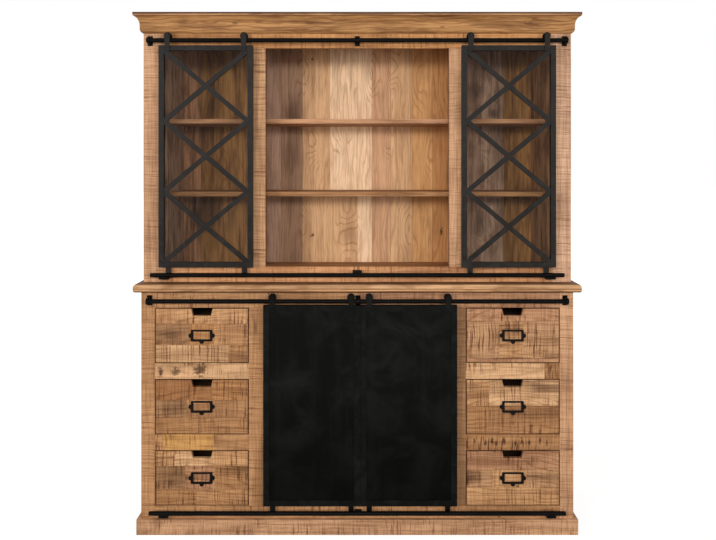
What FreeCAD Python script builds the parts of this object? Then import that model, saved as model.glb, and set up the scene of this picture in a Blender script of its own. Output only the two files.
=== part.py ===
"""China cabinet in two parts.

The base has drawers and sliding steel doors, and the hutch has shelves and sliding glass doors.

Millimetres. X runs to the viewer's right, Y into the depth and Z up.
The origin lies on the floor, under the middle of the cabinet's overall box.
"""
import FreeCAD, Part
import math
import os

Vector = FreeCAD.Vector

# Carcass sizes that the base and the hutch share
carcass_width = 1824.0
side_thick = 20.0
lining_thick = 18.0
divider_thick = 26.0
back_board_thick = 12.0
face_frame_thick = 22.0
mullion_width = 66.0
centre_opening_width = 784.0

# Base: face frame, floor and shelf
base_depth = 422.0
base_stile_width = 57.0
base_sill_height = 116.0
drawer_opening_height = 234.5
drawer_rail_height = 66.0
drawer_rows = 3
base_top_rail_height = 67.5
base_floor_drop = 16.0
base_floor_thick = 18.0
base_shelf_thick = 20.0
base_shelf_setback = 48.0
base_shelf_share = 0.527
base_back_board_count = 11
plinth_height = 64.0
plinth_proud = 16.0

# Tabletop with a rounded nosing on three edges
tabletop_thick = 36.0
tabletop_side_overhang = 28.0
tabletop_front_overhang = 28.0
tabletop_top_round = 16.0
tabletop_bottom_round = 9.0

# Hutch: face frame, floor, top and shelves
hutch_depth = 388.0
hutch_stile_width = 84.0
hutch_bottom_rail_height = 65.0
hutch_opening_height = 932.0
hutch_top_rail_height = 148.0
hutch_floor_rise = 36.0
hutch_floor_thick = 20.0
hutch_top_thick = 20.0
hutch_shelf_thick = 20.0
hutch_shelf_setback = 106.0
lower_shelf_share = 0.37
upper_shelf_share = 0.3445

# Seams of the hutch back boards, as shares of the width between the side boards
hutch_board_seam_shares = (
    0.082, 0.141, 0.195, 0.241, 0.296, 0.353, 0.427, 0.539,
    0.589, 0.647, 0.701, 0.763, 0.831, 0.892, 0.916,
)

# Cornice profile, from the cap down to the ovolo
cornice_height = 86.0
cornice_proud = 37.0
cornice_cap_height = 13.0
cornice_cap_step = 6.0
cornice_neck_proud = 13.0
cornice_fillet_height = 14.0
cornice_ovolo_height = 20.0
cornice_cove_hollow = 4.5
cornice_ovolo_swell = 4.0

# Track rods, guide rods and their brackets
rod_radius = 9.0
rod_end_chamfer = 1.0
rod_fit = 0.05
track_stand_off = 28.0
hutch_track_rise = 30.0
base_track_rise = 32.0
hutch_guide_drop = 31.0
base_guide_drop = 17.5
hutch_track_end_inset = 20.0
base_track_end_inset = 27.0
hutch_guide_end_inset = 38.0
base_guide_end_inset = 42.0
bracket_plate_width = 21.0
bracket_plate_height = 42.0
bracket_plate_thick = 4.0
bracket_stem_radius = 7.0
bracket_collar_radius = 13.0
bracket_collar_width = 14.0
hutch_track_bracket_inset = 29.0
base_track_bracket_inset = 36.0
base_centre_bracket_shift = 3.0
guide_bracket_width = 39.0
base_centre_guide_width = 30.0
guide_plate_thick = 4.0
guide_plate_height = 14.0
guide_arm_height = 12.0
guide_arm_bite = 3.0
guide_arm_lip = 5.0
guide_back_arm_rise = 4.0
hutch_guide_bracket_inset = 94.0
base_guide_bracket_inset = 102.0

# Hangers and grooved wheels
strap_width = 22.0
strap_thick = 5.0
strap_lap = 24.0
strap_crown = 10.0
hanger_inset = 37.5
wheel_root_radius = 7.5
wheel_flange_height = 8.0
wheel_flange_land = 0.5
wheel_side_play = 0.5
wheel_gap = 0.3
wheel_edge_round = 1.2
bolt_radius = 4.0
bolt_fit = 0.05
bolt_head_radius = 7.5
bolt_head_thick = 3.0
bolt_nut_radius = 6.5
bolt_nut_thick = 4.0
tongue_width = 22.0
tongue_thick = 5.0
tongue_clear = 2.0
tongue_play = 1.5

# Sliding doors
door_depth = 22.0
tube_wall = 2.0
glass_door_rise = 2.0
glass_door_top_lap = 7.0
glass_door_mullion_lap = 17.0
glass_door_stile_lap = 10.0
glass_tube_width = 22.0
brace_width = 20.0
brace_thick = 8.0
brace_recess = 2.0
brace_rows = 3
pane_thick = 4.0
steel_door_rise = 15.0
steel_door_top_lap = 16.5
steel_door_side_lap = 12.5
steel_door_shift = 12.0
steel_door_meeting_gap = 1.0
steel_tube_width = 25.0
steel_panel_thick = 2.0
steel_panel_recess = 3.0

# Drawers
drawer_gap = 3.0
drawer_side_clear = 5.0
drawer_front_thick = 20.0
drawer_side_thick = 12.0
drawer_bottom_thick = 6.0
drawer_bottom_rise = 10.0
drawer_box_rise = 10.0
drawer_box_headroom = 57.5
drawer_rear_clear = 35.0
notch_top_width = 91.0
notch_bottom_width = 77.0
notch_depth = 31.0
notch_round = 5.0
runner_width = 16.0
runner_height = 18.0
runner_gap = 0.3

# Label holders
holder_width = 91.0
holder_height = 49.0
holder_thick = 4.0
holder_window_width = 70.0
holder_window_height = 33.0
holder_window_rise = 9.0
holder_ear_width = 19.0
holder_ear_reach = 10.0
holder_corner_round = 4.0

# How far cutting shapes run past the faces that they cut, and how close a looked-up edge lies to its plane
overrun = 5.0
edge_room = 0.01

# Places worked out from the sizes
half_width = carcass_width / 2
half_inside = half_width - side_thick
half_centre = centre_opening_width / 2
mullion_outer = half_centre + mullion_width
divider_inner = mullion_outer - divider_thick
base_stile_inner = half_width - base_stile_width
hutch_stile_inner = half_width - hutch_stile_width

wheel_flange_radius = wheel_root_radius + wheel_flange_height
wheel_width = 2 * (rod_radius + wheel_gap + wheel_flange_land + wheel_edge_round)
door_front_out = track_stand_off + wheel_width / 2 + wheel_side_play
door_back_out = door_front_out - door_depth
guide_stand_off = door_back_out + tongue_thick + tongue_play + rod_radius
bolt_front_out = door_front_out + strap_thick + bolt_head_thick

y_back = (base_depth + bolt_front_out) / 2
y_boards = y_back - back_board_thick
y_base = y_back - base_depth
y_base_inside = y_base + face_frame_thick
y_hutch = y_back - hutch_depth
y_hutch_inside = y_hutch + face_frame_thick

drawer_pitch = drawer_opening_height + drawer_rail_height
drawer_box_height = drawer_opening_height - drawer_gap - drawer_box_rise - drawer_box_headroom
base_opening_height = drawer_rows * drawer_pitch - drawer_rail_height
base_opening_top = base_sill_height + base_opening_height
base_top = base_opening_top + base_top_rail_height
base_floor_top = base_sill_height - base_floor_drop
base_floor_bottom = base_floor_top - base_floor_thick

hutch_bottom = base_top + tabletop_thick
hutch_sill = hutch_bottom + hutch_bottom_rail_height
hutch_opening_top = hutch_sill + hutch_opening_height
cabinet_top = hutch_opening_top + hutch_top_rail_height
hutch_floor_top = hutch_bottom + hutch_floor_rise
hutch_ceiling = cabinet_top - hutch_top_thick
lower_shelf_top = hutch_floor_top + hutch_opening_height * lower_shelf_share
upper_shelf_top = lower_shelf_top + hutch_opening_height * upper_shelf_share

hutch_track_z = hutch_opening_top + hutch_track_rise
base_track_z = base_opening_top + base_track_rise
hutch_guide_z = hutch_sill - hutch_guide_drop
base_guide_z = base_sill_height - base_guide_drop
wheel_rise = rod_radius + wheel_gap + wheel_root_radius

glass_door_bottom = hutch_sill + glass_door_rise
glass_door_top = hutch_opening_top + glass_door_top_lap
glass_door_inner_edge = mullion_outer - glass_door_mullion_lap
glass_door_outer_edge = hutch_stile_inner + glass_door_stile_lap
glass_door_width = glass_door_outer_edge - glass_door_inner_edge
steel_door_bottom = base_sill_height + steel_door_rise
steel_door_top = base_opening_top + steel_door_top_lap
steel_door_width = half_centre + steel_door_side_lap - steel_door_meeting_gap / 2

nodes = {}


def box(x0, x1, y0, y1, z0, z1):
    """A board between two planes along each axis."""
    return Part.makeBox(x1 - x0, y1 - y0, z1 - z0, Vector(x0, y0, z0))


def pair(x0, x1, y0, y1, z0, z1):
    """A board and its mirror image on the other side of the cabinet."""
    return [box(-x1, -x0, y0, y1, z0, z1), box(x0, x1, y0, y1, z0, z1)]


def prism(points, travel):
    """A flat outline drawn out along a vector."""
    closed = Part.makePolygon(points + points[:1])
    return Part.Face(closed).extrude(travel)


def rod_along_x(radius, x0, x1, y, z):
    """A round bar lying along X."""
    return Part.makeCylinder(radius, x1 - x0, Vector(x0, y, z), Vector(1, 0, 0))


def rod_along_y(radius, x, y0, y1, z):
    """A round bar lying along Y."""
    return Part.makeCylinder(radius, y1 - y0, Vector(x, y0, z), Vector(0, 1, 0))


def bulged(start, end, bulge):
    """The middle of an arc that swells to the right of the way from start to end, in a section's plane."""
    run = end[0] - start[0]
    rise = end[1] - start[1]
    share = bulge / math.hypot(run, rise)
    return (start[0] + end[0]) / 2 + rise * share, (start[1] + end[1]) / 2 - run * share


def edge_line(start, end):
    """A straight edge."""
    return Part.LineSegment(start, end).toShape()


def edge_arc(start, middle, end):
    """A round edge through three points."""
    return Part.Arc(start, middle, end).toShape()


# Mitred surrounds

def mitre_plans(proud, y_face):
    """Plan outlines of a front run and two side runs that meet at mitres round the carcass."""
    front = [
        Vector(-half_width, y_face, 0),
        Vector(-half_width - proud, y_face - proud, 0),
        Vector(half_width + proud, y_face - proud, 0),
        Vector(half_width, y_face, 0),
    ]
    left = [
        Vector(-half_width, y_face, 0),
        Vector(-half_width, y_back, 0),
        Vector(-half_width - proud, y_back, 0),
        Vector(-half_width - proud, y_face - proud, 0),
    ]
    right = [Vector(-point.x, point.y, 0) for point in left]
    return front, left, right


def make_plinth():
    """Three plain boards round the foot of the base."""
    plans = mitre_plans(plinth_proud, y_base)
    nodes["plinth"] = [prism(plan, Vector(0, 0, plinth_height)) for plan in plans]


def cornice_section(origin, outward):
    """The crown moulding's section: ovolo, fillet, cove, step and cap."""
    def place(point):
        return origin + outward * point[0] + Vector(0, 0, point[1])

    neck_top = cornice_ovolo_height + cornice_fillet_height
    cap_bottom = cornice_height - cornice_cap_height
    foot = (0, 0)
    ovolo_top = (cornice_neck_proud, cornice_ovolo_height)
    cove_foot = (cornice_neck_proud, neck_top)
    cove_top = (cornice_proud - cornice_cap_step, cap_bottom)
    cap_foot = (cornice_proud, cap_bottom)
    cap_top = (cornice_proud, cornice_height)
    back_top = (0, cornice_height)
    ovolo_middle = bulged(foot, ovolo_top, cornice_ovolo_swell)
    cove_middle = bulged(cove_foot, cove_top, -cornice_cove_hollow)
    edges = [
        edge_arc(place(foot), place(ovolo_middle), place(ovolo_top)),
        edge_line(place(ovolo_top), place(cove_foot)),
        edge_arc(place(cove_foot), place(cove_middle), place(cove_top)),
        edge_line(place(cove_top), place(cap_foot)),
        edge_line(place(cap_foot), place(cap_top)),
        edge_line(place(cap_top), place(back_top)),
        edge_line(place(back_top), place(foot)),
    ]
    return Part.Face(Part.Wire(edges))


def make_cornice():
    """The crown moulding in three lengths with mitred front corners."""
    foot_z = cabinet_top - cornice_height
    front_start = Vector(-half_width - cornice_proud, y_hutch, foot_z)
    front_run = Vector(carcass_width + cornice_proud * 2, 0, 0)
    side_run = Vector(0, hutch_depth + cornice_proud, 0)
    left_start = Vector(-half_width, y_hutch - cornice_proud, foot_z)
    right_start = Vector(half_width, y_hutch - cornice_proud, foot_z)
    lengths = [
        cornice_section(front_start, Vector(0, -1, 0)).extrude(front_run),
        cornice_section(left_start, Vector(-1, 0, 0)).extrude(side_run),
        cornice_section(right_start, Vector(1, 0, 0)).extrude(side_run),
    ]
    runs = []
    for length, plan in zip(lengths, mitre_plans(cornice_proud, y_hutch)):
        cutter = prism(plan, Vector(0, 0, cornice_height))
        cutter.translate(Vector(0, 0, foot_z))
        runs += length.common(cutter).Solids
    nodes["cornice"] = runs


# Base carcass

def nosed_edges(slab, level):
    """The front and end edges of a slab at one level, without the back edge."""
    found = []
    for edge in slab.Edges:
        flat = edge.BoundBox.ZLength < edge_room and abs(edge.CenterOfMass.z - level) < edge_room
        if flat and edge.CenterOfMass.y < y_boards:
            found.append(edge)
    return found


def make_tabletop():
    """One thick board whose nosing runs round the front and both ends."""
    half = half_width + tabletop_side_overhang
    y_front = y_base - tabletop_front_overhang
    low = base_top
    high = hutch_bottom
    slab = box(-half, half, y_front, y_back, low, high)
    slab = slab.makeFillet(tabletop_top_round, nosed_edges(slab, high))
    slab = slab.makeFillet(tabletop_bottom_round, nosed_edges(slab, low))
    nodes["tabletop"] = [slab]


def make_base_carcass():
    """Sides, inner walls, floor, shelf, back boards and face frame of the base."""
    nodes["base_sides"] = pair(half_inside, half_width, y_base_inside, y_back, 0, base_top)
    walls = pair(divider_inner, mullion_outer, y_base_inside, y_boards, base_floor_top, base_top)
    lining_outer = base_stile_inner + lining_thick
    walls += pair(base_stile_inner, lining_outer, y_base_inside, y_boards, base_floor_top, base_top)
    nodes["base_inner_walls"] = walls
    nodes["base_floor"] = [
        box(-half_inside, half_inside, y_base_inside, y_boards, base_floor_bottom, base_floor_top)
    ]
    shelf_z = base_floor_top + base_opening_height * base_shelf_share
    nodes["base_shelf"] = [
        box(-divider_inner, divider_inner, y_base_inside + base_shelf_setback, y_boards,
            shelf_z - base_shelf_thick, shelf_z)
    ]
    board_width = half_inside * 2 / base_back_board_count
    boards = []
    for place in range(base_back_board_count):
        x0 = -half_inside + place * board_width
        boards.append(box(x0, x0 + board_width, y_boards, y_back, base_floor_bottom, base_top))
    nodes["base_back_boards"] = boards

    stiles = pair(base_stile_inner, half_width, y_base, y_base_inside, 0, base_top)
    stiles += pair(half_centre, mullion_outer, y_base, y_base_inside, base_sill_height, base_opening_top)
    nodes["base_stiles"] = stiles
    rails = [
        box(-base_stile_inner, base_stile_inner, y_base, y_base_inside, 0, base_sill_height),
        box(-base_stile_inner, base_stile_inner, y_base, y_base_inside, base_opening_top, base_top),
    ]
    for row in range(1, drawer_rows):
        low = base_sill_height + row * drawer_pitch - drawer_rail_height
        rails += pair(mullion_outer, base_stile_inner, y_base, y_base_inside, low, low + drawer_rail_height)
    nodes["base_rails"] = rails


# Hutch carcass

def make_hutch_carcass():
    """Sides, inner walls, floor, top, shelves, back boards and face frame of the hutch."""
    nodes["hutch_sides"] = pair(half_inside, half_width, y_hutch_inside, y_back, hutch_bottom, cabinet_top)
    walls = pair(divider_inner, mullion_outer, y_hutch_inside, y_boards, hutch_floor_top, hutch_ceiling)
    lining_outer = hutch_stile_inner + lining_thick
    walls += pair(hutch_stile_inner, lining_outer, y_hutch_inside, y_boards, hutch_floor_top, hutch_ceiling)
    nodes["hutch_inner_walls"] = walls
    nodes["hutch_floor"] = [
        box(-half_inside, half_inside, y_hutch_inside, y_boards,
            hutch_floor_top - hutch_floor_thick, hutch_floor_top)
    ]
    nodes["hutch_top"] = [
        box(-half_inside, half_inside, y_hutch_inside, y_boards, hutch_ceiling, cabinet_top)
    ]
    y_shelf = y_hutch + hutch_shelf_setback
    shelves = []
    for top in (lower_shelf_top, upper_shelf_top):
        low = top - hutch_shelf_thick
        shelves.append(box(-divider_inner, divider_inner, y_shelf, y_boards, low, top))
        shelves += pair(mullion_outer, hutch_stile_inner, y_shelf, y_boards, low, top)
    nodes["hutch_shelves"] = shelves
    seams = [0.0] + list(hutch_board_seam_shares) + [1.0]
    boards = []
    for left_share, right_share in zip(seams, seams[1:]):
        x0 = half_inside * (left_share * 2 - 1)
        x1 = half_inside * (right_share * 2 - 1)
        boards.append(box(x0, x1, y_boards, y_back, hutch_bottom, cabinet_top))
    nodes["hutch_back_boards"] = boards

    stiles = pair(hutch_stile_inner, half_width, y_hutch, y_hutch_inside, hutch_bottom, cabinet_top)
    stiles += pair(half_centre, mullion_outer, y_hutch, y_hutch_inside, hutch_sill, hutch_opening_top)
    nodes["hutch_stiles"] = stiles
    nodes["hutch_rails"] = [
        box(-hutch_stile_inner, hutch_stile_inner, y_hutch, y_hutch_inside, hutch_bottom, hutch_sill),
        box(-hutch_stile_inner, hutch_stile_inner, y_hutch, y_hutch_inside, hutch_opening_top, cabinet_top),
    ]


# Track and guide gear

def make_rod(end_inset, y, z):
    """A round steel bar with eased ends that stop short of the carcass sides."""
    rod = rod_along_x(rod_radius, end_inset - half_width, half_width - end_inset, y, z)
    ends = [edge for edge in rod.Edges if isinstance(edge.Curve, Part.Circle)]
    return rod.makeChamfer(rod_end_chamfer, ends)


def track_bracket(x, y_face, z):
    """A wall plate, a round stem and a collar that holds the track rod."""
    y_rod = y_face - track_stand_off
    plate = box(
        x - bracket_plate_width / 2, x + bracket_plate_width / 2,
        y_face - bracket_plate_thick, y_face,
        z - bracket_plate_height / 2, z + bracket_plate_height / 2,
    )
    stem = rod_along_y(bracket_stem_radius, x, y_rod, y_face - bracket_plate_thick, z)
    half_collar = bracket_collar_width / 2
    collar = rod_along_x(bracket_collar_radius, x - half_collar, x + half_collar, y_rod, z)
    bore = rod_along_x(rod_radius + rod_fit, x - bracket_plate_width, x + bracket_plate_width, y_rod, z)
    return plate.fuse([stem, collar]).removeSplitter().cut(bore)


def guide_bracket(x, width, y_face, z, arm_top, arm_lip):
    """An angle bracket whose arm is hollowed to seat the guide rod from below, above or behind."""
    x0 = x - width / 2
    x1 = x + width / 2
    y_rod = y_face - guide_stand_off
    y_plate = y_face - guide_plate_thick
    top = z + arm_top
    plate = box(x0, x1, y_plate, y_face, top - guide_plate_height, top)
    arm = box(x0, x1, y_rod - arm_lip, y_plate, top - guide_arm_height, top)
    saddle = rod_along_x(rod_radius + rod_fit, x0 - overrun, x1 + overrun, y_rod, z)
    return plate.fuse(arm).removeSplitter().cut(saddle)


def make_gear():
    """Track rods above the doors, guide rods below them, and the brackets that hold both."""
    y_hutch_track = y_hutch - track_stand_off
    y_base_track = y_base - track_stand_off
    nodes["hutch_track_rod"] = [make_rod(hutch_track_end_inset, y_hutch_track, hutch_track_z)]
    nodes["base_track_rod"] = [make_rod(base_track_end_inset, y_base_track, base_track_z)]
    y_hutch_guide = y_hutch - guide_stand_off
    y_base_guide = y_base - guide_stand_off
    nodes["hutch_guide_rod"] = [make_rod(hutch_guide_end_inset, y_hutch_guide, hutch_guide_z)]
    nodes["base_guide_rod"] = [make_rod(base_guide_end_inset, y_base_guide, base_guide_z)]

    brackets = []
    hutch_track_end = half_width - hutch_track_bracket_inset
    for x in (-hutch_track_end, 0, hutch_track_end):
        brackets.append(track_bracket(x, y_hutch, hutch_track_z))
    base_track_end = half_width - base_track_bracket_inset
    for x in (-base_track_end, base_centre_bracket_shift, base_track_end):
        brackets.append(track_bracket(x, y_base, base_track_z))
    nodes["track_brackets"] = brackets

    seat = rod_radius - guide_arm_bite
    feet = []
    hutch_guide_end = half_width - hutch_guide_bracket_inset
    for x in (-hutch_guide_end, hutch_guide_end):
        feet.append(guide_bracket(x, guide_bracket_width, y_hutch, hutch_guide_z, -seat, guide_arm_lip))
    over_rod = seat + guide_arm_height
    feet.append(guide_bracket(0, guide_bracket_width, y_hutch, hutch_guide_z, over_rod, guide_arm_lip))
    base_guide_end = half_width - base_guide_bracket_inset
    for x in (-base_guide_end, base_guide_end):
        feet.append(guide_bracket(x, guide_bracket_width, y_base, base_guide_z, -seat, guide_arm_lip))
    centre = base_centre_bracket_shift
    feet.append(guide_bracket(centre, base_centre_guide_width, y_base, base_guide_z, guide_back_arm_rise, 0))
    nodes["guide_brackets"] = feet


# Doors

def make_wheel(x, y, z):
    """A turned wheel whose groove has a flat floor, two flanks at 45 degrees and two walls around the rod."""
    groove = rod_radius + wheel_gap
    half_floor = groove * math.tan(math.pi / 8)
    flank_top = wheel_root_radius + groove - half_floor
    flange = wheel_flange_radius
    bore = bolt_radius + bolt_fit
    half = wheel_width / 2
    profile = [
        (bore, half),
        (flange - wheel_edge_round, half),
        (flange, half - wheel_edge_round),
        (flange, groove),
        (flank_top, groove),
        (wheel_root_radius, half_floor),
    ]
    points = [Vector(radius, -along, 0) for radius, along in profile]
    points += [Vector(radius, along, 0) for radius, along in reversed(profile)]
    section = Part.Face(Part.makePolygon(points + points[:1]))
    wheel = section.revolve(Vector(0, 0, 0), Vector(0, 1, 0), 360)
    wheel.translate(Vector(x, y, z))
    return wheel


def make_strap(x, y_face, door_top, wheel_z):
    """A flat strap with a round head, screwed to the door's face, with its bore for the wheel's bolt."""
    y0 = y_face - door_front_out - strap_thick
    half = strap_width / 2
    shoulder = wheel_z + strap_crown - half
    low = door_top - strap_lap
    foot_left = Vector(x - half, y0, low)
    head_left = Vector(x - half, y0, shoulder)
    crown = Vector(x, y0, shoulder + half)
    head_right = Vector(x + half, y0, shoulder)
    foot_right = Vector(x + half, y0, low)
    edges = [
        edge_line(foot_left, head_left),
        edge_arc(head_left, crown, head_right),
        edge_line(head_right, foot_right),
        edge_line(foot_right, foot_left),
    ]
    strap = Part.Face(Part.Wire(edges)).extrude(Vector(0, strap_thick, 0))
    bore = rod_along_y(bolt_radius + bolt_fit, x, y0 - overrun, y0 + strap_thick + overrun, wheel_z)
    return strap.cut(bore)


def make_bolt(x, y_face, wheel_z):
    """The wheel's axle bolt: a round head on the strap, a plain shank and a nut behind the wheel."""
    y_head = y_face - bolt_front_out
    y_strap = y_head + bolt_head_thick
    y_wheel_back = y_face - track_stand_off + wheel_width / 2
    y_nut = y_wheel_back + wheel_side_play
    head = rod_along_y(bolt_head_radius, x, y_head, y_strap, wheel_z)
    shank = rod_along_y(bolt_radius, x, y_strap, y_nut, wheel_z)
    nut = rod_along_y(bolt_nut_radius, x, y_nut, y_nut + bolt_nut_thick, wheel_z)
    return head.fuse([shank, nut])


def make_tongue(x, y_face, door_bottom, guide_z):
    """A flat tongue under the door that runs behind the guide rod and above the bracket arms."""
    y1 = y_face - door_back_out
    low = guide_z - rod_radius + guide_arm_bite + tongue_clear
    half = tongue_width / 2
    return box(x - half, x + half, y1 - tongue_thick, y1, low, door_bottom)


def make_door_frame(x0, x1, y_face, z0, z1, tube):
    """Four hollow tubes mitred at the corners."""
    y_front = y_face - door_front_out

    def ring(inset, y):
        left = x0 + inset
        right = x1 - inset
        low = z0 + inset
        high = z1 - inset
        return [Vector(left, y, low), Vector(right, y, low), Vector(right, y, high), Vector(left, y, high)]

    outer = ring(0, y_front)
    inner = ring(tube, y_front)
    hollow_outer = ring(tube_wall, y_front + tube_wall)
    hollow_inner = ring(tube - tube_wall, y_front + tube_wall)
    tubes = []
    for place in range(4):
        after = (place + 1) % 4
        skin = [outer[place], outer[after], inner[after], inner[place]]
        hollow = [hollow_outer[place], hollow_outer[after], hollow_inner[after], hollow_inner[place]]
        bar = prism(skin, Vector(0, door_depth, 0))
        tubes.append(bar.cut(prism(hollow, Vector(0, door_depth - tube_wall * 2, 0))))
    return tubes


def diagonal_bar(start, end):
    """A flat bar between two corners, longer than its window at both ends."""
    way = (end - start).normalize()
    across = Vector(way.z, 0, -way.x) * (brace_width / 2)
    reach = way * brace_width
    corners = [start - reach + across, end + reach + across, end + reach - across, start - reach - across]
    return prism(corners, Vector(0, brace_thick, 0))


def make_braces(x0, x1, y_face, z0, z1):
    """Crossed flat bars in a stack of windows, one bar whole and the other butted to it in each cross."""
    y0 = y_face - door_front_out + brace_recess
    y1 = y0 + brace_thick
    step = (z1 - z0) / brace_rows
    bars = []
    for row in range(brace_rows):
        low = z0 + row * step
        high = low + step
        window = box(x0, x1, y0, y1, low, high)
        rising = diagonal_bar(Vector(x0, y0, low), Vector(x1, y0, high))
        falling = diagonal_bar(Vector(x0, y0, high), Vector(x1, y0, low))
        bars += rising.common(window).Solids
        bars += falling.cut(rising).common(window).Solids
    return bars


def hang_door(name, x0, x1, y_face, door_bottom, door_top, track_z, guide_z):
    """Straps, bolts and tongues of one door, with its two wheels in their own nodes."""
    wheel_z = track_z + wheel_rise
    y_wheel = y_face - track_stand_off
    gear = []
    for side, x in (("left", x0 + hanger_inset), ("right", x1 - hanger_inset)):
        gear.append(make_strap(x, y_face, door_top, wheel_z))
        gear.append(make_bolt(x, y_face, wheel_z))
        gear.append(make_tongue(x, y_face, door_bottom, guide_z))
        nodes[name + "_" + side + "_wheel"] = [make_wheel(x, y_wheel, wheel_z)]
    return gear


def make_glass_door(name, x0):
    """A tube frame with three stacked crosses over a pane of glass."""
    x1 = x0 + glass_door_width
    z0 = glass_door_bottom
    z1 = glass_door_top
    tube = glass_tube_width
    frame = make_door_frame(x0, x1, y_hutch, z0, z1, tube)
    gear = hang_door(name, x0, x1, y_hutch, z0, z1, hutch_track_z, hutch_guide_z)
    braces = make_braces(x0 + tube, x1 - tube, y_hutch, z0 + tube, z1 - tube)
    nodes[name + "_frame"] = frame + braces + gear
    y_pane = y_hutch - door_front_out + brace_recess + brace_thick
    nodes[name + "_pane"] = [
        box(x0 + tube, x1 - tube, y_pane, y_pane + pane_thick, z0 + tube, z1 - tube)
    ]


def make_steel_door(name, x0):
    """A tube frame round a sheet that lies a little behind its face."""
    x1 = x0 + steel_door_width
    z0 = steel_door_bottom
    z1 = steel_door_top
    tube = steel_tube_width
    frame = make_door_frame(x0, x1, y_base, z0, z1, tube)
    gear = hang_door(name, x0, x1, y_base, z0, z1, base_track_z, base_guide_z)
    nodes[name + "_frame"] = frame + gear
    y_panel = y_base - door_front_out + steel_panel_recess
    nodes[name + "_panel"] = [
        box(x0 + tube, x1 - tube, y_panel, y_panel + steel_panel_thick, z0 + tube, z1 - tube)
    ]


# Drawers

def make_drawer_front(x0, x1, z0, z1):
    """A thick board with a finger notch in its top edge."""
    board = box(x0, x1, y_base, y_base + drawer_front_thick, z0, z1)
    middle = (x0 + x1) / 2
    low = z1 - notch_depth
    slope = (notch_top_width - notch_bottom_width) / 2 / notch_depth
    top_half = notch_top_width / 2 + slope * overrun
    y0 = y_base - overrun
    corners = [
        Vector(middle - top_half, y0, z1 + overrun),
        Vector(middle + top_half, y0, z1 + overrun),
        Vector(middle + notch_bottom_width / 2, y0, low),
        Vector(middle - notch_bottom_width / 2, y0, low),
    ]
    cutter = prism(corners, Vector(0, drawer_front_thick + overrun * 2, 0))
    bottom_edges = []
    for edge in cutter.Edges:
        along_y = edge.BoundBox.YLength > drawer_front_thick
        if along_y and edge.CenterOfMass.z < z1:
            bottom_edges.append(edge)
    return board.cut(cutter.makeFillet(notch_round, bottom_edges))


def make_drawer_box(x0, x1, z0):
    """Two sides, a back and a bottom behind the drawer's front."""
    y0 = y_base + drawer_front_thick
    y1 = y_boards - drawer_rear_clear
    z1 = z0 + drawer_box_height
    in0 = x0 + drawer_side_thick
    in1 = x1 - drawer_side_thick
    floor_low = z0 + drawer_bottom_rise
    return [
        box(x0, in0, y0, y1, z0, z1),
        box(in1, x1, y0, y1, z0, z1),
        box(in0, in1, y1 - drawer_side_thick, y1, z0, z1),
        box(in0, in1, y0, y1 - drawer_side_thick, floor_low, floor_low + drawer_bottom_thick),
    ]


def make_label_holder(x, z):
    """A flat card frame with two side ears and one ear below."""
    y0 = y_base - holder_thick
    z0 = z - holder_height / 2
    plate = box(x - holder_width / 2, x + holder_width / 2, y0, y_base, z0, z0 + holder_height)
    upright = [edge for edge in plate.Edges if edge.BoundBox.YLength > holder_thick / 2]
    plate = plate.makeFillet(holder_corner_round, upright)
    ear_radius = holder_ear_width / 2
    ear_out = holder_ear_reach - ear_radius
    ears = [
        rod_along_y(ear_radius, x - holder_width / 2 - ear_out, y0, y_base, z),
        rod_along_y(ear_radius, x + holder_width / 2 + ear_out, y0, y_base, z),
        rod_along_y(ear_radius, x, y0, y_base, z0 - ear_out),
    ]
    window = box(
        x - holder_window_width / 2, x + holder_window_width / 2, y0 - overrun, y_base + overrun,
        z0 + holder_window_rise, z0 + holder_window_rise + holder_window_height,
    )
    return plate.fuse(ears).removeSplitter().cut(window)


def make_drawers():
    """Six drawers in two columns, each with its front, box, label holder and pair of runners."""
    runners = []
    row_names = ("bottom", "middle", "top")
    for column, side in (("left", -1), ("right", 1)):
        x_low = min(side * mullion_outer, side * base_stile_inner)
        x_high = max(side * mullion_outer, side * base_stile_inner)
        for row in range(drawer_rows):
            name = column + "_" + row_names[row] + "_drawer"
            z0 = base_sill_height + row * drawer_pitch + drawer_gap
            z1 = z0 + drawer_opening_height - drawer_gap * 2
            front_low = x_low + drawer_gap
            front_high = x_high - drawer_gap
            box_z = z0 + drawer_box_rise
            nodes[name + "_front"] = [make_drawer_front(front_low, front_high, z0, z1)]
            box_low = x_low + drawer_side_clear
            box_high = x_high - drawer_side_clear
            nodes[name + "_box"] = make_drawer_box(box_low, box_high, box_z)
            nodes[name + "_label_holder"] = [make_label_holder((x_low + x_high) / 2, (z0 + z1) / 2)]
            top = box_z - runner_gap
            for r0, r1 in ((x_low, x_low + runner_width), (x_high - runner_width, x_high)):
                runners.append(box(r0, r1, y_base_inside, y_boards, top - runner_height, top))
    nodes["drawer_runners"] = runners


def make_doors():
    """Two glass doors on the hutch and two steel doors on the base."""
    make_glass_door("left_glass_door", -glass_door_outer_edge)
    make_glass_door("right_glass_door", glass_door_inner_edge)
    half_gap = steel_door_meeting_gap / 2
    make_steel_door("left_steel_door", steel_door_shift - half_gap - steel_door_width)
    make_steel_door("right_steel_door", steel_door_shift + half_gap)


def write_parts():
    """One file for each node."""
    os.makedirs("parts", exist_ok=True)
    for name, solids in nodes.items():
        shape = solids[0] if len(solids) == 1 else Part.makeCompound(solids)
        shape.exportStep("parts/" + name + ".step")


make_plinth()
make_base_carcass()
make_tabletop()
make_hutch_carcass()
make_cornice()
make_gear()
make_doors()
make_drawers()
write_parts()
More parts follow.
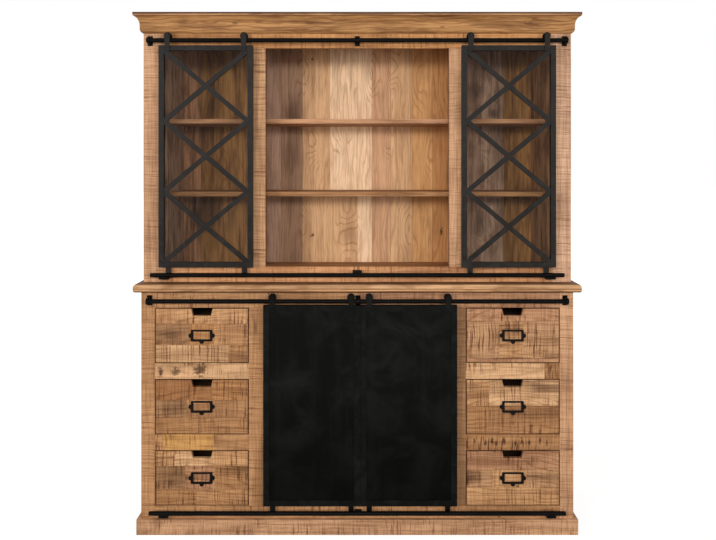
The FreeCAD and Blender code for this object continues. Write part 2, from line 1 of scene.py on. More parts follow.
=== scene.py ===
import bpy
import math
from collections import namedtuple
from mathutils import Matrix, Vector


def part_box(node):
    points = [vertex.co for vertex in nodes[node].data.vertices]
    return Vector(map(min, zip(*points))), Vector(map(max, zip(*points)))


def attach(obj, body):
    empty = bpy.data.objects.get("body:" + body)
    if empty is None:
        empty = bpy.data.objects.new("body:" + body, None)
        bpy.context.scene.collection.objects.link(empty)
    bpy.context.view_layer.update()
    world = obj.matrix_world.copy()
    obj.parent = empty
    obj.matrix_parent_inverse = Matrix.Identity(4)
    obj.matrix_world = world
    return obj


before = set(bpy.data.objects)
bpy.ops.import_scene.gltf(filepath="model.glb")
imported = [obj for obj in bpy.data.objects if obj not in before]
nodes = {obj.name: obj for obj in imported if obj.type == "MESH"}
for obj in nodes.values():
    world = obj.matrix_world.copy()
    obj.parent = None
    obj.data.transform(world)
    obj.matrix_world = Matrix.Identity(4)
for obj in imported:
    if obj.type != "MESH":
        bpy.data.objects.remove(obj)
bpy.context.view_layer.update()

SIDES = ("left", "right")
LEVELS = ("bottom", "middle", "top")

# A noise field: waves per metre along three axes, octaves, and how rough and how twisted it is
Noise = namedtuple("Noise", "waves detail roughness distortion", defaults=(0.0,))
NOISE_MIDDLE = 0.5
NOISE_RANGE = (0.3, 0.7)

# Sockets of the Mix node when it mixes colours
MIX_FACTOR = 0
MIX_FIRST = 6
MIX_SECOND = 7
MIX_RESULT = 2


def srgb(red, green, blue):
    """A linear colour from 8-bit screen values."""
    def linear(value):
        value = value / 255
        return value / 12.92 if value <= 0.04045 else ((value + 0.055) / 1.055) ** 2.4
    return linear(red), linear(green), linear(blue), 1.0


def grey(value):
    """A colour whose three channels hold one number."""
    return value, value, value, 1.0


def stretched(noise, along, across):
    """A noise field with its own waves along and across."""
    return noise._replace(waves=(along, across, across))


class Graph:
    """Adds shader nodes to one material or world and hands back their output sockets."""

    def __init__(self, owner, output="ShaderNodeOutputMaterial"):
        owner.use_nodes = True
        self.owner = owner
        self.tree = owner.node_tree
        self.tree.nodes.clear()
        self.output = self.add(output)

    def add(self, kind, inputs=None, **settings):
        node = self.tree.nodes.new(kind)
        for key, value in settings.items():
            setattr(node, key, value)
        for key, value in (inputs or {}).items():
            self.put(node.inputs[key], value)
        return node

    def put(self, socket, value):
        if isinstance(value, bpy.types.NodeSocket):
            self.tree.links.new(value, socket)
        else:
            socket.default_value = value

    def math(self, operation, *values, clamp=False):
        inputs = dict(enumerate(values))
        return self.add("ShaderNodeMath", inputs, operation=operation, use_clamp=clamp).outputs[0]

    def place(self):
        """Where a point lies on the piece, in metres."""
        return self.add("ShaderNodeTexCoord").outputs["Object"]

    def position(self):
        """X, Y and Z of a point on the piece, in metres."""
        return self.add("ShaderNodeSeparateXYZ", {0: self.place()}).outputs[:]

    def upward(self):
        """1 on a face that looks up, -1 on one that looks down."""
        normal = self.add("ShaderNodeNewGeometry").outputs["Normal"]
        return self.add("ShaderNodeSeparateXYZ", {0: normal}).outputs[2]

    def seen(self):
        """1 on rays from the camera, straight or by way of a mirror or glass, else 0."""
        path = self.add("ShaderNodeLightPath")
        total = path.outputs["Is Camera Ray"]
        for ray in ("Is Glossy Ray", "Is Transmission Ray"):
            total = self.math("ADD", total, path.outputs[ray], clamp=True)
        return total

    def combine(self, x, y, z):
        return self.add("ShaderNodeCombineXYZ", {0: x, 1: y, 2: z}).outputs[0]

    def length(self, x, y):
        inputs = {0: self.combine(x, y, 0.0)}
        return self.add("ShaderNodeVectorMath", inputs, operation="LENGTH").outputs["Value"]

    def noise(self, vector, noise, offset=(0, 0, 0)):
        stretch = {0: vector, 1: noise.waves, 2: offset}
        place = self.add("ShaderNodeVectorMath", stretch, operation="MULTIPLY_ADD").outputs[0]
        inputs = {
            "Vector": place, "Scale": 1.0, "Detail": noise.detail,
            "Roughness": noise.roughness, "Distortion": noise.distortion,
        }
        return self.add("ShaderNodeTexNoise", inputs).outputs[0]

    def smooth(self, value, low, high, out_low=0.0, out_high=1.0):
        """A soft step of value from low to high."""
        inputs = {0: value, 1: low, 2: high, 3: out_low, 4: out_high}
        return self.add("ShaderNodeMapRange", inputs, interpolation_type="SMOOTHSTEP").outputs[0]

    def mix(self, mode, factor, first, second):
        """Two colours mixed in one of the Mix node's modes."""
        inputs = {MIX_FACTOR: factor, MIX_FIRST: first, MIX_SECOND: second}
        return self.add("ShaderNodeMix", inputs, data_type="RGBA", blend_type=mode).outputs[MIX_RESULT]

    def darken(self, colour, factor, strength, shade):
        """A colour, multiplied by a shade where factor is high."""
        return self.mix("MULTIPLY", self.math("MULTIPLY", factor, strength), colour, shade)

    def stepped(self, value, steps):
        """One colour for each stretch of value; steps hold (start, colour)."""
        colour = steps[0][1]
        for start, after in steps[1:]:
            colour = self.mix("MIX", self.math("GREATER_THAN", value, start), colour, after)
        return colour

    def cells(self, outer, inner, rows):
        """One colour for each cell; rows hold (start along outer, steps along inner)."""
        return self.stepped(outer, [(start, self.stepped(inner, steps)) for start, steps in rows])

    def lines_at(self, value, places, half_width):
        """1 within half_width of each place, else 0."""
        total = 0.0
        for place in places:
            total = self.math("ADD", total, self.math("COMPARE", value, place, half_width))
        return total

    def oval(self, across, up, centre, reach):
        """The distance from an oval's centre, 1 at its rim."""
        side = self.math("DIVIDE", self.math("SUBTRACT", across, centre[0]), reach[0])
        rise = self.math("DIVIDE", self.math("SUBTRACT", up, centre[1]), reach[1])
        return self.length(side, rise)

    def ragged(self, noise, share, distance):
        """A distance that noise makes uneven."""
        return self.math("MULTIPLY_ADD", self.math("SUBTRACT", noise, NOISE_MIDDLE), share, distance)

    def surface(self, colour, roughness, specular, height, bump, relief):
        """Joins a surface with a fine relief to the output."""
        raised = self.add("ShaderNodeBump", {"Strength": bump, "Distance": relief, "Height": height})
        shader = self.add("ShaderNodeBsdfPrincipled", {
            "Base Color": colour,
            "Roughness": roughness,
            "Normal": raised.outputs[0],
            "Specular IOR Level": specular,
        })
        return self.finish(shader)

    def finish(self, shader):
        self.tree.links.new(shader.outputs[0], self.output.inputs["Surface"])
        return self.owner


# Wood

# The axes along, across and into the grain; XY follows a moulding round its corners
GRAIN_AXES = {"X": ("X", "Z", "Y"), "Y": ("Y", "Z", "X"), "Z": ("Z", "X", "Y"), "XY": ("XY", "Z", None)}

# What each mark multiplies the wood's colour by
DRIFT_DARK = (0.48, 0.42, 0.37, 1)
STREAK_DARK = (0.50, 0.41, 0.33, 1)
RING_DARK = (0.55, 0.46, 0.37, 1)
FIBRE_DARK = (0.66, 0.59, 0.52, 1)
SAW_DARK = (0.30, 0.20, 0.14, 1)
PATCH_DARK = (0.36, 0.30, 0.27, 1)
KNOT_DARK = (0.12, 0.08, 0.06, 1)
SEAM_DARK = (0.42, 0.32, 0.25, 1)
GAP_SHADE_DARK = (0.25, 0.18, 0.13, 1)

# Where each mark sets in and where it is full
DRIFT_EDGE = (0.42, 0.66)
STREAK_EDGE = (0.45, 0.64)
RING_EDGE = (0.35, 1.0)
RING_SHOWN = (0.30, 0.55)
FIBRE_EDGE = (0.42, 0.62)
SAW_EDGE = (0.54, 0.61)
FINE_SAW_EDGE = (0.48, 0.60)
CLUSTER_EDGE = (0.42, 0.60)
TICK_EDGE = (1.1, 0.5)
SWIRL_EDGE = (1.0, 0.0)
PATCH_EDGE = (1.2, 0.1)
KNOT_EDGE = (1.0, 0.25)
TOP_EDGE = (0.6, 0.95)

# Noise along, across and into the grain; each piece sets the waves of the last three
HAIR = Noise((8, 190, 190), 4, 0.72)
STREAKS = Noise((2.0, 56, 56), 6, 0.74, 0.5)
RAGGED = Noise((34, 60, 60), 3, 0.65, 1.5)
WARP = Noise((2.6, 11, 11), 3, 0.55)
CLUSTER = Noise((8, 13, 13), 2, 0.6)
SLOW = Noise(None, 3, 0.6)
CUT = Noise(None, 2, 0.62)
FINE_CUT = Noise(None, 1, 0.5)

# Lengths in metres
RING_PITCH = 0.015
RING_WARP = 0.09
SAW_WARP = 0.014
SWIRL_SHIFT = 0.055
SEAM_HALF_WIDTH = 0.0006
BOARD_SHIFT = 0.37
PIECE_SHIFT = 0.53
LAST_BOARD = 0.1
ARCH_LOW = 1.1
ARCH_STEP = 0.37
ARCH_SPAN = 1.0
WOOD_RELIEF = 0.0012

# Shares and strengths
SEED_SHIFT = (3.71, 1.37, 2.13)
ARCH_STRETCH = 0.08
PEAK_STRETCH = 0.16
SWIRL_FIGURE = 0.15
FINE_SAW = 1.7
PATCH_RAG = -1.8
KNOT_RAG = 2.6
SEAM_STRENGTH = 0.8
GAP_SHADE_STRENGTH = 0.85
HAIR_HEIGHT = -0.35
SAW_HEIGHT = -0.6
WOOD_BUMP = 0.35
WOOD_ROUGHNESS = (0.54, 0.72)
WOOD_SPECULAR = 0.2


def board_shifts(rows):
    """How far the grain of each board is shifted, so that it differs from its neighbours'."""
    shifted = []
    for row, (start, steps) in enumerate(rows):
        shifts = [grey(BOARD_SHIFT * row + PIECE_SHIFT * step) for step in range(len(steps))]
        shifted.append((start, [(place, shift) for (place, _), shift in zip(steps, shifts)]))
    return shifted


def board_middles(rows):
    """The middle of each row of boards."""
    starts = [start for start, _ in rows]
    ends = starts[1:] + [starts[-1] + LAST_BOARD]
    return [(low, grey((low + high) / 2)) for low, high in zip(starts, ends)]


def board_arches(rows):
    """The height at which the arches of each row's figure meet."""
    return [(start, grey(ARCH_LOW + ARCH_STEP * row % ARCH_SPAN)) for row, (start, _) in enumerate(rows)]


def wood(
    name, along, seed, tone=None, cells=None,
    saw=0.0, saw_pitch=0.008, saw_length=0.12, saw_fine=0.4, saw_even=0.15,
    figure=0.3, streak=0.6, drift=0.55, drift_waves=(2.6, 8), fibre=0.5,
    patches=(), knots=(), ticks=(), swirls=(), rim=None, top=None, calm=None, peak=None,
):
    """Oiled mango wood with its grain along one axis and saw marks square to the grain.

    tone is its colour; or else cells is (outer axis, inner axis, rows), for a piece glued up from boards of
    differing tone. saw, figure, streak, drift and fibre are how dark its saw marks, rings, streaks, mottle
    and fibres are. patches, knots, ticks and swirls are (centre, reach, strength) ovals in the plane of X
    and Z: dark heartwood, knots, places with strong saw marks, and grain that runs round a spot. rim is a
    (low corner, high corner, width) whose edge gets painted shade, for the shade in the gap round the piece.
    top is a (colour, share) of painted shade for faces that look up. calm is a (half width, share) for a
    quieter grain about the middle. peak is where along the grain the arches of its figure meet.
    """
    g = Graph(bpy.data.materials.new(name))
    x, y, z = g.position()
    axes = {"X": x, "Y": y, "Z": z, "XY": g.math("ADD", x, y)}
    run_axis, across_axis, depth_axis = GRAIN_AXES[along]
    run = axes[run_axis]
    across = axes[across_axis]
    depth = axes[depth_axis] if depth_axis else 0.0
    colour = tone
    heart = 0.0
    apex = 0.0
    if cells:
        outer, inner, rows = cells
        colour = g.cells(axes[outer], axes[inner], rows)
        depth = g.math("ADD", depth, g.cells(axes[outer], axes[inner], board_shifts(rows)))
        if outer == across_axis:
            heart = g.stepped(across, board_middles(rows))
            if peak is not None:
                apex = peak
            elif along == "Z":
                apex = g.stepped(across, board_arches(rows))
    grain = g.combine(run, across, depth)
    shift = [seed * part for part in SEED_SHIFT]

    hair = g.noise(grain, HAIR, shift)
    streaks = g.noise(grain, STREAKS, shift)
    ragged = g.noise(grain, RAGGED, shift)
    slow = g.noise(grain, stretched(SLOW, *drift_waves), shift)
    warp = g.noise(grain, WARP, shift)

    off = g.math("MULTIPLY_ADD", warp, RING_WARP, g.math("SUBTRACT", across, heart))
    stretch = ARCH_STRETCH if peak is None else PEAK_STRETCH
    radius = g.length(off, g.math("MULTIPLY", g.math("SUBTRACT", run, apex), stretch))
    eye = 0.0
    for centre, reach, strength in swirls:
        eye = g.math("ADD", eye, g.smooth(g.oval(x, z, centre, reach), *SWIRL_EDGE, 0.0, strength))
    if swirls:
        radius = g.math("MULTIPLY_ADD", eye, SWIRL_SHIFT, radius)
        figure = g.math("MULTIPLY_ADD", eye, SWIRL_FIGURE, figure)
    rings = g.math("SINE", g.math("MULTIPLY", radius, 2 * math.pi / RING_PITCH))
    shown = g.math("ADD", g.smooth(warp, *RING_SHOWN), eye, clamp=True)
    rings = g.math("MULTIPLY", g.smooth(rings, *RING_EDGE), shown)

    if calm:
        half_width, share = calm
        outside = g.math("GREATER_THAN", g.math("ABSOLUTE", x), half_width)
        share = g.math("MULTIPLY_ADD", outside, 1 - share, share)
        streak = g.math("MULTIPLY", share, streak)
        drift = g.math("MULTIPLY", share, drift)

    colour = g.darken(colour, g.smooth(slow, *DRIFT_EDGE), drift, DRIFT_DARK)
    colour = g.darken(colour, g.smooth(streaks, *STREAK_EDGE), streak, STREAK_DARK)
    colour = g.darken(colour, rings, figure, RING_DARK)
    colour = g.darken(colour, g.smooth(hair, *FIBRE_EDGE), fibre, FIBRE_DARK)

    height = g.math("MULTIPLY", hair, HAIR_HEIGHT)
    if saw:
        wave = g.math("MULTIPLY_ADD", warp, SAW_WARP, run)
        marks = g.combine(wave, across, depth)
        cut = g.noise(marks, stretched(CUT, 1 / saw_pitch, 1 / saw_length), shift)
        fine = g.noise(marks, stretched(FINE_CUT, FINE_SAW / saw_pitch, 1 / saw_length), shift)
        cluster = g.smooth(g.noise(grain, CLUSTER, shift), *CLUSTER_EDGE, saw_even, 1.0)
        for centre, reach, strength in ticks:
            near = g.smooth(g.oval(x, z, centre, reach), *TICK_EDGE, 0.0, strength)
            cluster = g.math("ADD", cluster, near)
        lines = g.math("MULTIPLY", g.smooth(cut, *SAW_EDGE), cluster)
        lines = g.math("MULTIPLY_ADD", g.smooth(fine, *FINE_SAW_EDGE), saw_fine, lines)
        colour = g.darken(colour, lines, saw, SAW_DARK)
        height = g.math("MULTIPLY_ADD", lines, SAW_HEIGHT, height)
    for centre, reach, strength in patches:
        away = g.ragged(streaks, PATCH_RAG, g.oval(x, z, centre, reach))
        colour = g.darken(colour, g.smooth(away, *PATCH_EDGE), strength, PATCH_DARK)
    for centre, reach, strength in knots:
        away = g.ragged(ragged, KNOT_RAG, g.oval(x, z, centre, reach))
        colour = g.darken(colour, g.smooth(away, *KNOT_EDGE), strength, KNOT_DARK)
    if cells:
        seams = g.lines_at(axes[outer], [start for start, _ in rows[1:]], SEAM_HALF_WIDTH)
        colour = g.darken(colour, seams, SEAM_STRENGTH, SEAM_DARK)
    # Painted shade along the piece's edge, for the shade in the gap round a drawer front
    if rim:
        low, high, width = rim
        side = g.math("MINIMUM", g.math("SUBTRACT", x, low.x), g.math("SUBTRACT", high.x, x))
        rise = g.math("MINIMUM", g.math("SUBTRACT", z, low.z), g.math("SUBTRACT", high.z, z))
        near = g.smooth(g.math("MINIMUM", side, rise), width, 0.0)
        colour = g.darken(colour, near, GAP_SHADE_STRENGTH, GAP_SHADE_DARK)
    # Painted shade on faces that look up, which a light from the front leaves darker
    if top:
        shade, share = top
        colour = g.mix("MULTIPLY", g.smooth(g.upward(), *TOP_EDGE, 0.0, share), colour, shade)

    roughness = g.smooth(hair, *NOISE_RANGE, *WOOD_ROUGHNESS)
    return g.surface(colour, roughness, WOOD_SPECULAR, height, WOOD_BUMP, WOOD_RELIEF)


# Steel and glass

CLOUD = Noise(None, 4, 0.62, 0.6)
CLOUD_EDGE = (0.40, 0.72)
GRIT = Noise((420, 420, 420), 2, 0.6)
RUNS = Noise((26, 26, 1.6), 3, 0.6)
RUN_EDGE = (0.45, 0.8)
PALER_TIMES = 2.4
PALER_MORE = 0.004
STEEL_SMOOTHER = 0.07
STEEL_ROUGHER = 0.08
STEEL_BUMP = 0.08
STEEL_RELIEF = 0.0005
DUST = Noise((9, 9, 9), 4, 0.65)
PANE_ROUGHNESS = (0.02, 0.05)
PANE_IOR = 1.22


def steel(name, colour, mottle, roughness, specular, runs=0.0, cloud_waves=6, fade=None):
    """Blackened steel with an uneven finish.

    runs is how pale its upright runs are. fade is a (low, high, share) that darkens it from the high level
    down to the low one.
    """
    g = Graph(bpy.data.materials.new(name))
    place = g.place()
    cloud = g.noise(place, stretched(CLOUD, cloud_waves, cloud_waves))
    paler = tuple(min(1, part * PALER_TIMES + PALER_MORE) for part in colour[:3]) + (1,)
    base = g.mix("MIX", g.math("MULTIPLY", g.smooth(cloud, *CLOUD_EDGE), mottle), colour, paler)
    if runs:
        run = g.smooth(g.noise(place, RUNS), *RUN_EDGE)
        base = g.mix("MIX", g.math("MULTIPLY", run, runs), base, paler)
    if fade:
        low, high, share = fade
        height = g.position()[2]
        base = g.mix("MULTIPLY", g.smooth(height, high, low, 0.0, share), base, grey(0.0))
    uneven = g.smooth(cloud, *NOISE_RANGE, roughness - STEEL_SMOOTHER, roughness + STEEL_ROUGHER)
    return g.surface(base, uneven, specular, g.noise(place, GRIT), STEEL_BUMP, STEEL_RELIEF)


def clear_glass(name):
    """Thin clear glass: it passes nearly all light straight on and mirrors a little from its outer faces."""
    g = Graph(bpy.data.materials.new(name))
    dust = g.noise(g.place(), DUST)
    clear = g.mix("MIX", dust, srgb(244, 243, 240), srgb(250, 250, 248))
    through = g.add("ShaderNodeBsdfTransparent", {"Color": clear})
    roughness = g.smooth(dust, *NOISE_RANGE, *PANE_ROUGHNESS)
    mirror = g.add("ShaderNodeBsdfGlossy", {"Color": grey(1.0), "Roughness": roughness})
    inside = g.add("ShaderNodeNewGeometry").outputs["Backfacing"]
    outer = g.math("SUBTRACT", 1.0, inside)
    fresnel = g.add("ShaderNodeFresnel", {"IOR": PANE_IOR}).outputs[0]
    share = g.math("MULTIPLY", fresnel, outer)
    return g.finish(g.add("ShaderNodeMixShader", {0: share, 1: through.outputs[0], 2: mirror.outputs[0]}))


# Tones of the boards
pale = srgb(222, 176, 130)
honey = srgb(210, 160, 112)
tan = srgb(196, 146, 100)
rosy = srgb(196, 146, 108)
yellow = srgb(208, 156, 92)
brown = srgb(178, 130, 86)
rust = srgb(182, 130, 82)
umber = srgb(164, 122, 84)
ivory = srgb(246, 208, 168)
straw = srgb(226, 170, 112)
amber = srgb(206, 148, 92)
grey_tan = srgb(184, 148, 124)
# painted shade for the crown's top edge and painted shadow for the tabletop's foot
painted_shade_brown = srgb(92, 62, 42)
rose_grey = srgb(204, 164, 136)
amber_brown = srgb(186, 136, 84)
bark = srgb(166, 130, 102)
rose_tan = srgb(212, 164, 124)
sand = srgb(198, 152, 110)
peach = srgb(216, 156, 107)
blush = srgb(224, 180, 146)
chestnut = srgb(166, 115, 72)
olive = srgb(182, 133, 76)
ash = srgb(210, 176, 152)
# painted shade for faces that look up
painted_shade_top = srgb(130, 112, 100)
# painted shade for the inside of the drawers
box_brown_painted_shade = srgb(78, 55, 39)


def one_tone(tone):
    """The steps of a row of boards that has one tone."""
    return [(0.0, tone)]


# The height of the hutch's lower shelves, and one between its lower and upper shelves
LOWER_SHELF = 1.43
HUTCH_MIDDLE = 1.5

# X left of all boards, and how far from the middle the outer stiles and linings begin
FAR_LEFT = -1.0
OUTER_FROM = 0.7

# Boards of the hutch's back from left to right: share of the width where each starts, and tones by height
back_boards = (
    (0.0, one_tone(rosy)), (0.082, one_tone(olive)), (0.141, one_tone(olive)),
    (0.195, one_tone(amber_brown)), (0.241, one_tone(grey_tan)), (0.296, one_tone(bark)),
    (0.353, one_tone(pale)), (0.427, [(0.0, pale), (LOWER_SHELF, ivory)]), (0.500, one_tone(ivory)),
    (0.539, one_tone(rose_tan)), (0.589, one_tone(pale)), (0.647, one_tone(straw)),
    (0.701, one_tone(amber)), (0.763, one_tone(grey_tan)), (0.831, one_tone(ash)),
    (0.892, one_tone(olive)), (0.916, one_tone(olive)),
)
inside_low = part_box("hutch_back_boards")[0].x
inside_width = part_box("hutch_back_boards")[1].x - inside_low
back_rows = [(inside_low + share * inside_width, steps) for share, steps in back_boards]
hutch_back = wood(
    "hutch_back_wood", "Z", 1.0, cells=("X", "Z", back_rows), figure=0.45, streak=0.95,
    drift=1.0, drift_waves=(5.0, 20), fibre=0.3, calm=(0.43, 0.4),
    knots=[
        ((-0.215, 1.219), (0.012, 0.012), 1.0),
        ((0.402, 1.235), (0.010, 0.022), 0.9),
        ((-0.214, 2.06), (0.008, 0.008), 0.9),
    ],
    swirls=[
        ((-0.237, 2.00), (0.07, 0.15), 1.0), ((-0.200, 1.66), (0.06, 0.14), 1.0),
        ((-0.040, 1.22), (0.08, 0.13), 0.9), ((0.060, 1.98), (0.06, 0.16), 1.0),
        ((0.165, 2.02), (0.06, 0.14), 1.0), ((0.130, 1.67), (0.05, 0.12), 0.9),
        ((-0.080, 1.58), (0.08, 0.20), 0.8), ((0.30, 1.95), (0.06, 0.18), 0.6),
        ((0.33, 1.60), (0.06, 0.16), 0.6), ((-0.25, 1.27), (0.05, 0.14), 0.7),
        ((0.24, 1.25), (0.06, 0.16), 0.6), ((-0.80, 1.75), (0.07, 0.20), 1.0),
        ((-0.66, 1.95), (0.06, 0.16), 1.0), ((-0.62, 1.55), (0.06, 0.20), 1.0),
        ((-0.68, 1.28), (0.06, 0.14), 1.0), ((0.571, 1.92), (0.07, 0.12), 1.2),
        ((0.645, 1.80), (0.05, 0.10), 1.0), ((0.585, 1.54), (0.07, 0.14), 1.2),
        ((0.571, 1.25), (0.07, 0.12), 1.2), ((0.82, 1.85), (0.05, 0.16), 0.8),
    ],
    patches=[
        ((-0.31, 1.80), (0.06, 0.10), 0.8), ((-0.32, 1.60), (0.06, 0.12), 0.7),
        ((-0.73, 1.34), (0.08, 0.10), 1.0), ((-0.74, 2.00), (0.06, 0.06), 0.6),
        ((-0.73, 1.68), (0.06, 0.08), 0.8), ((0.62, 1.99), (0.10, 0.05), 0.6),
        ((0.68, 1.62), (0.05, 0.14), 0.6), ((0.60, 1.30), (0.05, 0.05), 0.5),
        ((-0.22, 1.98), (0.04, 0.08), 0.35), ((-0.04, 1.22), (0.05, 0.06), 0.4),
        ((0.05, 1.99), (0.025, 0.07), 0.4), ((0.36, 1.24), (0.05, 0.10), 0.3),
        ((-0.76, 1.30), (0.07, 0.12), 0.8), ((-0.60, 1.30), (0.05, 0.10), 0.5),
        ((-0.69, 1.93), (0.03, 0.12), 0.6), ((0.571, 1.915), (0.05, 0.05), 0.7),
        ((0.645, 1.80), (0.03, 0.03), 0.9), ((0.585, 1.52), (0.05, 0.07), 0.6),
        ((0.571, 1.25), (0.05, 0.06), 0.6), ((0.752, 1.60), (0.016, 0.70), 0.8),
        ((0.87, 1.60), (0.04, 0.60), 0.7),
    ],
)
finish_of = {"hutch_back_boards": hutch_back}

# Stiles and mullions from left to right
stile_marks = {
    "saw": 0.5, "saw_pitch": 0.007, "saw_length": 0.22, "saw_fine": 0.6, "saw_even": 0.45,
    "fibre": 0.35, "streak": 0.5,
}
base_stile_rows = [
    (FAR_LEFT, one_tone(tan)), (-OUTER_FROM, one_tone(tan)),
    (0.0, one_tone(umber)), (OUTER_FROM, one_tone(rose_tan)),
]
finish_of["base_stiles"] = wood(
    "stile_wood", "Z", 2.0, cells=("X", "Z", base_stile_rows),
    patches=[((-0.43, 0.87), (0.012, 0.05), 0.8)], **stile_marks,
)
hutch_stile_rows = [
    (FAR_LEFT, one_tone(rose_tan)), (-OUTER_FROM, one_tone(sand)),
    (0.0, one_tone(rose_tan)), (OUTER_FROM, one_tone(blush)),
]
finish_of["hutch_stiles"] = wood(
    "hutch_stile_wood", "Z", 3.0, cells=("X", "Z", hutch_stile_rows), **stile_marks,
)

# Rails of the base from the foot up: the bottom rail, the two rails between drawers, the top rail
rail_rows = [
    (-1.0, one_tone(tan)),
    (0.3, [(-1.0, tan), (-0.82, yellow), (-0.605, tan), (0.0, brown)]),
    (0.6, [(-1.0, pale), (0.79, brown)]),
    (0.9, [(-1.0, tan), (0.0, rosy)]),
]

# A row of dark marks on the lower right rail, turn by turn a little above and below its line
MARK_LINE = 0.384
MARK_STAGGER = 0.004
MARK_REACH = (0.007, 0.019)
MARK_STRENGTH = 0.85
mark_places = (0.494, 0.540, 0.568, 0.585, 0.620, 0.667, 0.694, 0.726, 0.772, 0.800)
mark_knots = [
    ((place, MARK_LINE + MARK_STAGGER * (-1) ** turn), MARK_REACH, MARK_STRENGTH)
    for turn, place in enumerate(mark_places)
]
finish_of["base_rails"] = wood(
    "rail_wood", "X", 4.0, cells=("Z", "X", rail_rows), saw=0.6,
    knots=[
        ((-0.665, 0.692), (0.040, 0.036), 0.9), ((-0.83, 0.682), (0.016, 0.030), 0.9),
        ((-0.765, 0.682), (0.030, 0.022), 0.8), ((0.60, 0.07), (0.006, 0.006), 0.9),
    ] + mark_knots,
    ticks=[
        ((0.57, 0.375), (0.16, 0.035), 2.6),
        ((0.82, 0.675), (0.03, 0.04), 0.8),
        ((0.5, 0.69), (0.06, 0.03), 0.5),
    ],
)
hutch_rail_rows = [(0.0, one_tone(peach)), (HUTCH_MIDDLE, one_tone(amber))]
finish_of["hutch_rails"] = wood(
    "hutch_rail_wood", "X", 5.0, cells=("Z", "X", hutch_rail_rows), saw=0.5, saw_even=0.4,
)

# Mouldings: the crown has a paler lip under painted shade along its top edge; the tabletop has painted
# shadow along its foot, a thin line of painted shade along the middle of its edge, and painted shade on its
# top face
CROWN_LIP = 0.014
CROWN_TOP_SHADE = 0.007
crown_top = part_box("cornice")[1].z
crown_rows = [
    (0.0, one_tone(amber_brown)), (crown_top - CROWN_LIP, one_tone(tan)),
    (crown_top - CROWN_TOP_SHADE, one_tone(painted_shade_brown)),
]
finish_of["cornice"] = wood(
    "moulding_wood", "XY", 6.0, cells=("Z", "X", crown_rows), figure=0.8, streak=0.8,
    drift=0.8, drift_waves=(4, 22),
    knots=[
        ((-0.52, 2.157), (0.020, 0.008), 0.6),
        ((0.36, 2.140), (0.016, 0.007), 0.6),
        ((0.74, 2.160), (0.014, 0.006), 0.5),
    ],
)
finish_of["plinth"] = wood(
    "plinth_wood", "XY", 7.0, tone=rose_tan, saw=0.6, saw_even=0.4,
    patches=[((-0.84, 0.05), (0.03, 0.05), 0.5)],
)
# Painted shadow along the foot of the tabletop's edge
TABLETOP_FOOT_SHADOW = 0.005
# A thin line of painted shade along the middle of the tabletop's edge, for the shade of a bead
BEAD_SHADE_LOW = 0.004
BEAD_SHADE_HIGH = 0.001
tabletop_low, tabletop_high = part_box("tabletop")
tabletop_middle = (tabletop_low.z + tabletop_high.z) / 2
tabletop_rows = [
    (0.0, one_tone(painted_shade_brown)), (tabletop_low.z + TABLETOP_FOOT_SHADOW, one_tone(honey)),
    (tabletop_middle - BEAD_SHADE_LOW, one_tone(umber)), (tabletop_middle - BEAD_SHADE_HIGH, one_tone(pale)),
]
finish_of["tabletop"] = wood(
    "tabletop_wood", "X", 8.0, cells=("Z", "X", tabletop_rows), figure=0.5, streak=0.8, drift=0.8,
    top=(painted_shade_top, 0.9),
)

# Walls, shelves, the base's back and the drawer boxes
inner_wall_rows = [
    (FAR_LEFT, one_tone(ash)), (-OUTER_FROM, one_tone(rose_grey)), (OUTER_FROM, one_tone(sand)),
]
inner_wood = wood(
    "inner_wood", "Z", 9.0, cells=("X", "Z", inner_wall_rows), figure=0.6, streak=0.8,
    drift=1.0, drift_waves=(6, 16),
)
finish_of["base_inner_walls"] = inner_wood
finish_of["hutch_inner_walls"] = inner_wood
side_rows = [
    (-1.0, one_tone(honey)), (-0.09, one_tone(tan)), (0.02, one_tone(pale)), (0.12, one_tone(tan)),
]
side_wood = wood(
    "side_wood", "Z", 10.0, cells=("Y", "Z", side_rows),
    saw=0.4, saw_pitch=0.007, saw_length=0.3, saw_fine=0.2,
)
finish_of["base_sides"] = side_wood
finish_of["hutch_sides"] = side_wood
shelf_rows = [(0.0, one_tone(brown)), (HUTCH_MIDDLE, one_tone(rosy))]
shelf_wood = wood("shelf_wood", "X", 11.0, cells=("Z", "X", shelf_rows), figure=0.4, streak=0.7)
for node in ("base_floor", "base_shelf", "hutch_floor", "hutch_shelves", "hutch_top"):
    finish_of[node] = shelf_wood
back_low, back_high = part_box("base_back_boards")
base_back_tones = (tan, brown, honey, umber, tan, pale, brown, tan, rosy, honey, brown)
board_width = (back_high.x - back_low.x) / len(base_back_tones)
base_back_rows = [
    (back_low.x + place * board_width, one_tone(tone)) for place, tone in enumerate(base_back_tones)
]
finish_of["base_back_boards"] = wood(
    "base_back_wood", "Z", 12.0, cells=("X", "Z", base_back_rows), figure=0.45,
)
# The drawer boxes and runners are painted dark, as the shade inside the drawers seen through the pull
# notches
box_wood_painted_shade = wood("box_wood_painted_shade", "Y", 13.0, tone=box_brown_painted_shade)
finish_of["drawer_runners"] = box_wood_painted_shade

